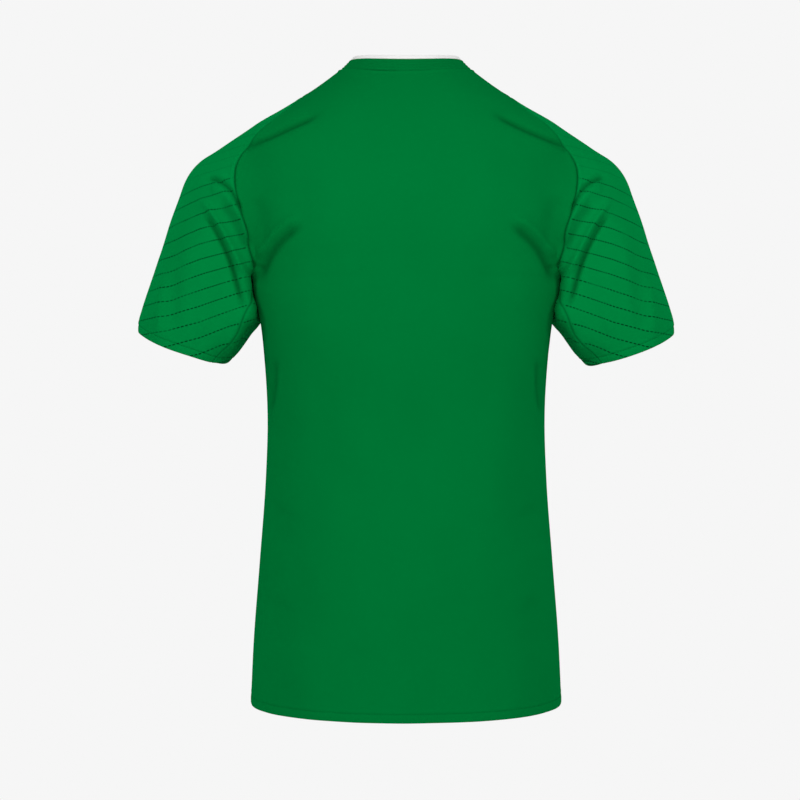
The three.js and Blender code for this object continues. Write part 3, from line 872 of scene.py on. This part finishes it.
def cloth_object(name, cloth):
    """The cloth's two faces and the rim between them, as one closed mesh."""
    outer, inner = cloth.outer(), cloth.inner()
    rows, columns = outer.shape[:2]
    grid = closed_faces(rows, columns, False, cloth.round_it)
    behind = grid[:, ::-1] + rows * columns
    faces = [grid, behind]
    rims = [np.arange(columns), np.arange(columns) + (rows - 1) * columns]
    if cloth.round_it:
        rims = [np.append(rim, rim[0]) for rim in rims]
    else:
        rims += [np.arange(rows) * columns, np.arange(rows) * columns + columns - 1]
    for k, rim in enumerate(rims):
        a, b = rim[:-1], rim[1:]
        quad = np.stack([b, a, a + rows * columns, b + rows * columns], axis=1)
        faces.append(quad if k in (0, 3) else quad[:, ::-1])
    points = np.concatenate([outer.reshape(-1, 3), inner.reshape(-1, 3)])
    across = distances_along(cloth.form, 1)
    across -= across[:, columns // 2 : columns // 2 + 1]
    up = distances_along(cloth.form, 0)
    uv = np.stack([across, up], axis=-1).reshape(-1, 2)
    obj = mesh_object(name, points, np.concatenate(faces), np.concatenate([uv, uv]))
    # Painted shade in folds and along seams, for the material to darken the colour
    add_value(obj.data, "painted_fold_and_seam_shade", cloth.painted_shade)
    if cloth.round_it:
        rows = cloth.rows.reshape(-1, 2)
        add_uv(obj.data, "perforated rows", np.concatenate([rows, rows]) * (MM, 1))
        add_value(obj.data, "row_strength", cloth.row_strength)
    return obj


def band_object(name, rows, around):
    """A closed ring of cloth from a loop of rows that each go round the neck."""
    count, columns = rows.shape[:2]
    faces = closed_faces(count, columns, True, True)
    up = np.cumsum(np.linalg.norm(rows[:, 0] - np.roll(rows[:, 0], 1, axis=0), axis=1))
    uv = np.stack(np.broadcast_arrays(around[None, :], up[:, None]), axis=-1).reshape(-1, 2)
    return mesh_object(name, rows.reshape(-1, 3), faces, uv)


# Materials


def connect(tree, node, inputs):
    """Gives a node's inputs their values, or links them to the outputs of others."""
    for key, value in inputs.items():
        if isinstance(value, bpy.types.NodeSocket):
            tree.links.new(value, node.inputs[key])
        else:
            node.inputs[key].default_value = value


def new_node(tree, kind, inputs=None, **settings):
    node = tree.nodes.new(kind)
    for key, value in settings.items():
        setattr(node, key, value)
    connect(tree, node, inputs or {})
    return node


def math_node(tree, operation, *values):
    return new_node(tree, "ShaderNodeMath", dict(enumerate(values)), operation=operation).outputs[0]


def noise_node(tree, place, scale, detail, roughness=0.5):
    inputs = {"Vector": place, "Scale": scale, "Detail": detail, "Roughness": roughness}
    return new_node(tree, "ShaderNodeTexNoise", inputs).outputs[0]


def mix_node(tree, share, first, second):
    """The first colour where share is 0, and the second where it is 1."""
    colours = {0: share, 6: first, 7: second}
    return new_node(tree, "ShaderNodeMix", colours, data_type="RGBA").outputs[2]


def group(name, inputs, outputs):
    """A new group of nodes that takes a place and numbers and gives numbers."""
    tree = bpy.data.node_groups.new(name, "ShaderNodeTree")
    tree.interface.new_socket("Place", in_out="INPUT", socket_type="NodeSocketVector")
    for label in inputs:
        tree.interface.new_socket(label, in_out="INPUT", socket_type="NodeSocketFloat")
    for label in outputs:
        tree.interface.new_socket(label, in_out="OUTPUT", socket_type="NodeSocketFloat")
    return tree, tree.nodes.new("NodeGroupInput").outputs, tree.nodes.new("NodeGroupOutput")


LOOP_LEAN = 0.35
FUZZ_SCALE = 900.0


def fine_knit_group():
    """Rows of small knitted loops: a height for bump, and a tone from 0 to 1 that is painted shade,
    lighter on the loops and darker between them, made uneven by fine fuzz.
    """
    tree, given, made = group("fine_knit", ["Loop Width", "Loop Height"], ["Height", "Tone"])
    calc = partial(math_node, tree)
    turn = 2 * math.pi
    place = new_node(tree, "ShaderNodeSeparateXYZ", {0: given["Place"]}).outputs
    across = calc("DIVIDE", place[0], given["Loop Width"])
    up = calc("DIVIDE", place[1], given["Loop Height"])
    wale = calc("COSINE", calc("MULTIPLY", across, turn))
    lean = calc("MULTIPLY", calc("ABSOLUTE", wale), LOOP_LEAN)
    course = calc("COSINE", calc("MULTIPLY", calc("ADD", up, lean), turn))
    height = calc("MULTIPLY_ADD", calc("ADD", wale, course), 0.25, 0.5)
    fuzz = noise_node(tree, given["Place"], FUZZ_SCALE, 2.0)
    # Painted shade between the loops: the tone follows their height, scattered by fuzz
    tone = calc("MULTIPLY", calc("MULTIPLY", height, fuzz), 2.0)
    connect(tree, made, {"Height": height, "Tone": tone})
    return tree


def soft_mottle_group():
    """Broad faint unevenness of dye and handling, from 0 to 1, and a finer one for bump."""
    tree, given, made = group("soft_mottle", ["Patches"], ["Tone", "Height"])
    broad = noise_node(tree, given["Place"], given["Patches"], 3.0, 0.45)
    finer = math_node(tree, "MULTIPLY", given["Patches"], 11.0)
    fine = noise_node(tree, given["Place"], finer, 2.0)
    connect(tree, made, {"Tone": broad, "Height": fine})
    return tree


def perforated_group():
    """Rows of small punched slots: 1 in a slot and 0 on the cloth between."""
    sizes = ["Row Spacing", "Pitch", "Slot Length", "Slot Width", "Softness"]
    tree, given, made = group("perforated_rows", sizes, ["Mask"])
    calc = partial(math_node, tree)
    place = new_node(tree, "ShaderNodeSeparateXYZ", {0: given["Place"]}).outputs

    def from_nearest(value, size):
        """The distance from the nearest whole multiple of a size."""
        turns = calc("FRACT", calc("ADD", value, 0.5))
        return calc("MULTIPLY", calc("ABSOLUTE", calc("SUBTRACT", turns, 0.5)), size)

    across = from_nearest(place[1], given["Row Spacing"])
    along = from_nearest(calc("DIVIDE", place[0], given["Pitch"]), given["Pitch"])
    straight = calc("SUBTRACT", given["Slot Length"], given["Slot Width"])
    beyond = calc("MAXIMUM", calc("SUBTRACT", along, calc("MULTIPLY", straight, 0.5)), 0.0)
    square = calc("ADD", calc("POWER", beyond, 2.0), calc("POWER", across, 2.0))
    radius = calc("MULTIPLY", given["Slot Width"], 0.5)
    edges = {
        "Value": calc("SQRT", square),
        "From Min": calc("ADD", radius, given["Softness"]),
        "From Max": calc("SUBTRACT", radius, given["Softness"]),
    }
    mask = new_node(tree, "ShaderNodeMapRange", edges, interpolation_type="SMOOTHSTEP")
    connect(tree, made, {"Mask": mask.outputs[0]})
    return tree


fine_knit = fine_knit_group()
soft_mottle = soft_mottle_group()
perforated = perforated_group()

GREEN_SHEEN = (0.0, 0.9, 0.24)
SHEEN_ROUGHNESS = 0.4
LOOP_SHAPE = 0.8
LOOP_RELIEF = 0.00025
MOTTLE_PATCHES = 9.0
MOTTLE_SHARE = 0.55
# Painted shade at the bottom of a fold and along a seam: how much of its colour cloth loses there, how
# fast, and what is left there
FOLD_SHADE = 0.55
FOLD_SHADE_POWER = 1.5
PAINTED_SHADE_COLOUR_SHARE = 0.25


def cloth_material(name, deep, bright, loop, bump, rough, sheen, sheen_tint=GREEN_SHEEN):
    """Knitted cloth that varies between two colours, with loops of a given size in metres, and with
    painted shade in its folds and along its seams.
    """
    material = bpy.data.materials.new(name)
    material.use_nodes = True
    tree = material.node_tree
    calc = partial(math_node, tree)
    spot = new_node(tree, "ShaderNodeUVMap", uv_map="cloth").outputs[0]
    body = new_node(tree, "ShaderNodeTexCoord").outputs["Object"]
    loops = {"Place": spot, "Loop Width": loop, "Loop Height": loop * LOOP_SHAPE}
    knit = new_node(tree, "ShaderNodeGroup", loops, node_tree=fine_knit).outputs
    patches = {"Place": body, "Patches": MOTTLE_PATCHES}
    mottle = new_node(tree, "ShaderNodeGroup", patches, node_tree=soft_mottle).outputs
    # The knit's tone is its painted shade between the loops
    knit_tone = calc("MULTIPLY", knit["Tone"], 1 - MOTTLE_SHARE)
    tone = calc("ADD", knit_tone, calc("MULTIPLY", mottle["Tone"], MOTTLE_SHARE))
    colour = mix_node(tree, tone, (*deep, 1), (*bright, 1))
    # Painted shade: the colour darkens towards a darker green in narrow folds and along seams
    folded = new_node(tree, "ShaderNodeAttribute", attribute_name="painted_fold_and_seam_shade").outputs["Fac"]
    light_lost = calc("MULTIPLY", calc("POWER", folded, FOLD_SHADE_POWER), FOLD_SHADE)
    painted_shade_colour = tuple(PAINTED_SHADE_COLOUR_SHARE * part for part in deep)
    surface = calc("ADD", knit["Height"], mottle["Height"])
    relief = {"Height": surface, "Strength": bump, "Distance": LOOP_RELIEF}
    connect(tree, tree.nodes["Principled BSDF"], {
        "Base Color": mix_node(tree, light_lost, colour, (*painted_shade_colour, 1)),
        "Normal": new_node(tree, "ShaderNodeBump", relief).outputs[0],
        "Roughness": rough,
        "Specular IOR Level": 0.0,
        "Sheen Weight": sheen,
        "Sheen Roughness": SHEEN_ROUGHNESS,
        "Sheen Tint": (*sheen_tint, 1),
    })
    return material


# The slots' sizes in metres, and how strong the faintest of them are
SLOT_LENGTH = 0.0037
SLOT_WIDTH = 0.0012
SLOT_PITCH = 0.0052
SLOT_SOFTNESS = 0.00018
SLOT_DEPTH = 0.0004
WEAR_SCALE = 42.0
WEAR_REACH = (0.3, 0.5)
LEAST_SHOWN = 0.55


def perforate(material, shade):
    """Adds the rows of slots to a cloth material: darkened with painted shade, and sunk a little."""
    tree = material.node_tree
    shader = tree.nodes["Principled BSDF"]
    calc = partial(math_node, tree)
    place = new_node(tree, "ShaderNodeUVMap", uv_map="perforated rows").outputs[0]
    strength = new_node(tree, "ShaderNodeAttribute", attribute_name="row_strength").outputs["Fac"]
    sizes = {
        "Place": place,
        "Row Spacing": ROW_SPACING * MM,
        "Pitch": SLOT_PITCH,
        "Slot Length": SLOT_LENGTH,
        "Slot Width": SLOT_WIDTH,
        "Softness": SLOT_SOFTNESS,
    }
    slots = new_node(tree, "ShaderNodeGroup", sizes, node_tree=perforated).outputs["Mask"]
    body = new_node(tree, "ShaderNodeTexCoord").outputs["Object"]
    wear = {
        "Value": noise_node(tree, body, WEAR_SCALE, 1.0),
        "From Min": WEAR_REACH[0],
        "From Max": WEAR_REACH[1],
        "To Min": LEAST_SHOWN,
    }
    uneven = new_node(tree, "ShaderNodeMapRange", wear).outputs[0]
    depth = calc("MULTIPLY", calc("MULTIPLY", slots, strength), uneven)
    cloth_colour, cloth_relief = (
        shader.inputs[label].links[0].from_socket for label in ("Base Color", "Normal")
    )
    sunk = {"Height": depth, "Strength": 0.6, "Distance": SLOT_DEPTH, "Normal": cloth_relief}
    # The slots' dark colour is painted shade, the dark inside each punched slot
    connect(tree, shader, {
        "Base Color": mix_node(tree, depth, cloth_colour, (*shade, 1)),
        "Normal": new_node(tree, "ShaderNodeBump", sunk, invert=True).outputs[0],
    })


body_knit = cloth_material(
    "body_knit", (0.0, 0.150, 0.028), (0.0, 0.184, 0.037),
    loop=0.0011, bump=0.35, rough=0.6, sheen=0.05,
)
sleeve_knit = cloth_material(
    "sleeve_knit", (0.0, 0.188, 0.038), (0.0, 0.231, 0.049),
    loop=0.0011, bump=0.35, rough=0.6, sheen=0.12,
)
# The slots' colour is painted shade
perforate(sleeve_knit, (0.0, 0.022, 0.005))
collar_rib = cloth_material(
    "collar_rib", (0.0, 0.135, 0.026), (0.0, 0.175, 0.036),
    loop=0.0016, bump=0.6, rough=0.75, sheen=0.05,
)
edge_white = cloth_material(
    "edge_white", (0.80, 0.80, 0.79), (0.90, 0.90, 0.89),
    loop=0.0012, bump=0.5, rough=0.8, sheen=0.05, sheen_tint=(1, 1, 1),
)
thread_green = cloth_material(
    "thread_green", (0.0, 0.120, 0.022), (0.0, 0.150, 0.030),
    loop=0.0006, bump=0.2, rough=0.6, sheen=0.05,
)


def finish_piece(obj, material, nodes, flat, area):
    obj.data.materials.append(material)
    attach(obj, "root")
    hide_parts(*nodes)


# Stitches

STITCH_PITCH = 3.0
STITCH_LENGTH = 2.3
STITCH_THICK = 0.55
STITCH_SIDES = 6
# Rings along a stitch: how far from its middle, how thick, and how far out of the cloth
STITCH_RINGS = (
    (-0.5, 0.35, -0.30),
    (-0.38, 0.85, -0.02),
    (0.0, 1.0, 0.12),
    (0.38, 0.85, -0.02),
    (0.5, 0.35, -0.30),
)


def stitches(name, cloth, line):
    """Short threads laid on the cloth at a fixed distance from its hem."""
    outer = cloth.outer()
    place, facing = np.empty((2, outer.shape[1], 3))
    for j in range(len(place)):
        order = np.argsort(cloth.hem[:, j])
        at = cloth.hem[order, j]
        for k in range(3):
            place[j, k] = np.interp(line, at, outer[order, j, k])
            facing[j, k] = np.interp(line, at, cloth.normal[order, j, k])
    if cloth.round_it:
        place, facing = (np.append(rows, rows[:1], axis=0) for rows in (place, facing))
    run = runs_of(place)
    starts = np.arange(STITCH_PITCH, run[-1] - STITCH_PITCH, STITCH_PITCH)
    firsts, lasts = at_distances(place, starts), at_distances(place, starts + STITCH_LENGTH)
    outs = unit(np.stack([np.interp(starts, run, facing[:, k]) for k in range(3)], axis=1))
    points, faces = [], []
    for a, b, out in zip(firsts, lasts, outs):
        thread, rings = thread_between(a, b, out)
        faces.append(rings + len(points) * len(thread))
        points.append(thread)
    points = np.concatenate(points)
    obj = mesh_object(name, points, np.concatenate(faces), points[:, [0, 2]])
    obj.data.materials.append(thread_green)
    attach(obj, "root")
    return obj


def thread_between(a, b, out):
    """One stitch: a thread that dips into the cloth at both ends."""
    way = unit(b - a)
    side = np.cross(way, out)
    middle, length = (a + b) / 2, np.linalg.norm(b - a)
    turn = np.arange(STITCH_SIDES) * 2 * math.pi / STITCH_SIDES
    circle = np.cos(turn)[:, None] * side + np.sin(turn)[:, None] * out
    rings = []
    for share, size, lift in STITCH_RINGS:
        centre = middle + way * length * share + out * lift
        rings.append(centre + circle * STITCH_THICK / 2 * size)
    faces = closed_faces(len(rings), STITCH_SIDES, False, True)
    return np.concatenate(rings), faces


# The jersey

back = body_cloth("back")
front = body_cloth("front")
sleeves = {"left": sleeve_cloth(1), "right": sleeve_cloth(-1)}
stations = neck_stations(back, front)

for name, cloth, flat, area in (
    ("back", back, (0.57, 0.74), 0.36),
    ("front", front, (0.56, 0.74), 0.34),
):
    piece = cloth_object(f"cloth_{name}", cloth)
    sewing = stitches(f"stitches_{name}", cloth, HEM_STITCH)
    finish_piece(piece, body_knit, [f"{name}_panel"], flat, area)
for side, cloth in sleeves.items():
    piece = cloth_object(f"cloth_sleeve_{side}", cloth)
    sewing = stitches(f"stitches_sleeve_{side}", cloth, CUFF_STITCH)
    finish_piece(piece, sleeve_knit, [f"sleeve_{side}"], (0.46, 0.30), 0.10)

collar_up = np.concatenate([
    [COLLAR_GAP, COLLAR_GAP + COLLAR_WIDTH * 0.02],
    COLLAR_WIDTH * np.linspace(0.06, 0.94, 25),
    [COLLAR_WIDTH * 0.98, COLLAR_WIDTH],
])
ribs = RIB_DEPTH * np.cos(collar_up / COLLAR_WIDTH * 2 * math.pi * RIBS)
round_over = lines_along(collar_up, COLLAR_ROUNDS)
heights = [*collar_up, *collar_up[::-1]]
depths = [*(COLLAR_INSET - ribs + round_over), *(COLLAR_WALL - round_over[::-1])]
for height, inside in COLLAR_ALLOWANCE:
    heights.append(height)
    depths.append(COLLAR_WALL + inside)
collar_piece = band_object("collar_band", band(stations, heights, depths), stations[3])
finish_piece(collar_piece, collar_rib, ["collar"], (0.46, 0.0185), 0.0085)

edge_up = COLLAR_WIDTH + COLLAR_INSET + EDGE_HEIGHT * EDGE_ROWS
edge_half = EDGE_WALL / 2 * EDGE_THICKNESS
edge_heights = [*edge_up, *edge_up[::-1]]
edge_depths = [*(COLLAR_WALL / 2 - edge_half), *(COLLAR_WALL / 2 + edge_half[::-1])]
edge_piece = band_object("collar_white_edge", band(stations, edge_heights, edge_depths), stations[3])
finish_piece(edge_piece, edge_white, ["collar_edge"], (0.45, 0.01), 0.0018)


# Light, floor and camera, in metres and watts


def area_light(name, place, target, size, power):
    data = bpy.data.lights.new(name, "AREA")
    data.shape = "RECTANGLE"
    data.size, data.size_y = size
    data.energy = power
    light = add_object(name, data)
    light.visible_camera = False
    light.location = place
    light.rotation_euler = (Vector(target) - Vector(place)).to_track_quat("-Z", "Y").to_euler()


def pale_world(seen, cast):
    """A plain pale surround: one brightness to the camera, another as light."""
    world = bpy.data.worlds.new("studio")
    bpy.context.scene.world = world
    world.use_nodes = True
    tree = world.node_tree
    tree.nodes.clear()
    path = new_node(tree, "ShaderNodeLightPath").outputs["Is Camera Ray"]
    lit, shown = (
        new_node(tree, "ShaderNodeBackground", {"Color": (1, 1, 1, 1), "Strength": strength}).outputs[0]
        for strength in (cast, seen)
    )
    both = new_node(tree, "ShaderNodeMixShader", {0: path, 1: lit, 2: shown})
    new_node(tree, "ShaderNodeOutputWorld", {0: both.outputs[0]})


BACKDROP = 0.9216
SURROUND = 0.16
LIT_HEIGHT = 0.3
MIDDLE_POWER = 21.5
CORNER_POWER = 19.5
pale_world(BACKDROP, SURROUND)
for place, facing in (("behind", 1), ("before", -1)):
    area_light(place, (0, 1.9 * facing, 0.35), (0, 0, LIT_HEIGHT), (1.1, 0.9), MIDDLE_POWER)
    for side in (-1, 1):
        corner, target = (1.9 * side, 1.4 * facing, 0.6), (0.1 * side, 0, LIT_HEIGHT)
        area_light(f"{place} {side}", corner, target, (0.9, 1.1), CORNER_POWER)

FLOOR_DROP = 1.2
FLOOR_RADIUS = 1.3
FLOOR_SIDES = 128
FLOOR_PAINT = (0.9, 0.9, 0.9, 1)
floor_points = [(0, 0, -FLOOR_DROP)]
for k in range(FLOOR_SIDES):
    angle = 2 * math.pi * k / FLOOR_SIDES
    floor_points.append((FLOOR_RADIUS * math.cos(angle), FLOOR_RADIUS * math.sin(angle), -FLOOR_DROP))
floor_faces = [(0, 1 + k, 1 + (k + 1) % FLOOR_SIDES) for k in range(FLOOR_SIDES)]
floor_mesh = bpy.data.meshes.new("floor")
floor_mesh.from_pydata(floor_points, [], floor_faces)
floor = add_object("floor", floor_mesh)
floor_paint = bpy.data.materials.new("floor_paint")
floor_paint.use_nodes = True
paint = floor_paint.node_tree.nodes["Principled BSDF"]
connect(floor_paint.node_tree, paint, {"Base Color": FLOOR_PAINT, "Roughness": 0.9})
floor_mesh.materials.append(floor_paint)

CAMERA_DISTANCE = 2.7
CAMERA_DROP = 0.3816
SENSOR_MM = 36
METRES_PER_PIXEL = 0.00116
IMAGE_WIDTH = 800
MIDDLE_COLUMN = 406.1
camera_data = bpy.data.cameras.new("camera")
camera_data.sensor_width = SENSOR_MM
camera_data.lens = SENSOR_MM * CAMERA_DISTANCE / (IMAGE_WIDTH * METRES_PER_PIXEL)
camera = add_object("camera", camera_data)
aside = (MIDDLE_COLUMN - IMAGE_WIDTH / 2) * METRES_PER_PIXEL
camera.location = (aside, CAMERA_DISTANCE, -CAMERA_DROP)
camera.rotation_euler = (math.pi / 2, 0, math.pi)
bpy.context.scene.camera = camera

bpy.context.scene.view_settings.view_transform = "Standard"
